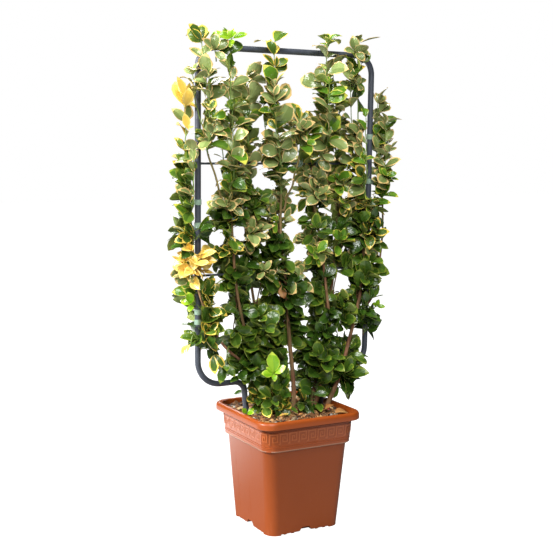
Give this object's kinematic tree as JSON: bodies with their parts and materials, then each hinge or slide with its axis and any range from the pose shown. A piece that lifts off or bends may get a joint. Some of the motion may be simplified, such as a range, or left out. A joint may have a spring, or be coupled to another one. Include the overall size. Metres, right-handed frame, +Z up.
{
  "type": "potted golden-edged japanese spindle trained flat on a tube frame",
  "caption": "Evergreen shrub with golden-edged leaves, trained flat on a dark bent tube frame with cross bars, growing in a square terracotta-coloured plastic pot with a meander band.",
  "frame": {"origin": "centre of the pot's flat underside, on the ground", "axes": "+Z up; +X to the right along the flat frame, seen from the front; -Y towards the front"},
  "size_m": [0.6398, 0.2972, 1.2663],
  "materials": {
    "terracotta_plastic": "moulded, semi-gloss",
    "bark_compost": "loose bark chips, dry",
    "coated_steel": "dark powder coat, satin",
    "bark": "rough brown bark",
    "leaf": "leathery green leaves with golden margins"
  },
  "bodies": {
    "root": {"pot": "terracotta_plastic", "soil": "bark_compost", "frame_top_rail": "coated_steel", "frame_upright_left": "coated_steel", "frame_upright_right": "coated_steel", "frame_bend_top_left": "coated_steel", "frame_bend_top_right": "coated_steel", "frame_bend_bottom_left": "coated_steel", "frame_bend_bottom_right": "coated_steel", "frame_leg_left": "coated_steel", "frame_leg_right": "coated_steel", "frame_bar_lower": "coated_steel", "frame_bar_upper": "coated_steel", "stem_middle": "bark", "stem_left": "bark", "stem_inner_left": "bark", "stem_inner_right": "bark", "stem_back_right": "bark", "stem_right": "bark", "bough_outer_left": "bark", "bough_outer_right": "bark", "bough_fork_left": "bark", "bough_fork_middle": "bark", "bough_fork_right": "bark", "foliage_top_left": "leaf", "foliage_top_outer_left": "leaf", "foliage_top_inner_left": "leaf", "foliage_top_left_middle": "leaf", "foliage_top_middle": "leaf", "foliage_top_right_middle": "leaf", "foliage_top_inner_right": "leaf", "foliage_top_right": "leaf", "foliage_top_far_right": "leaf", "foliage_top_outer_right": "leaf", "foliage_upper_outer_left": "leaf", "foliage_upper_left": "leaf", "foliage_upper_inner_left": "leaf", "foliage_upper_middle": "leaf", "foliage_upper_inner_right": "leaf", "foliage_upper_right": "leaf", "foliage_upper_outer_right": "leaf", "foliage_middle_outer_left": "leaf", "foliage_middle_left": "leaf", "foliage_middle_inner_left": "leaf", "foliage_middle": "leaf", "foliage_middle_inner_right": "leaf", "foliage_middle_right": "leaf", "foliage_middle_outer_right": "leaf", "foliage_lower_left": "leaf", "foliage_lower_middle": "leaf", "foliage_lower_inner_right": "leaf", "foliage_lower_right": "leaf"}
  },
  "joints": []
}
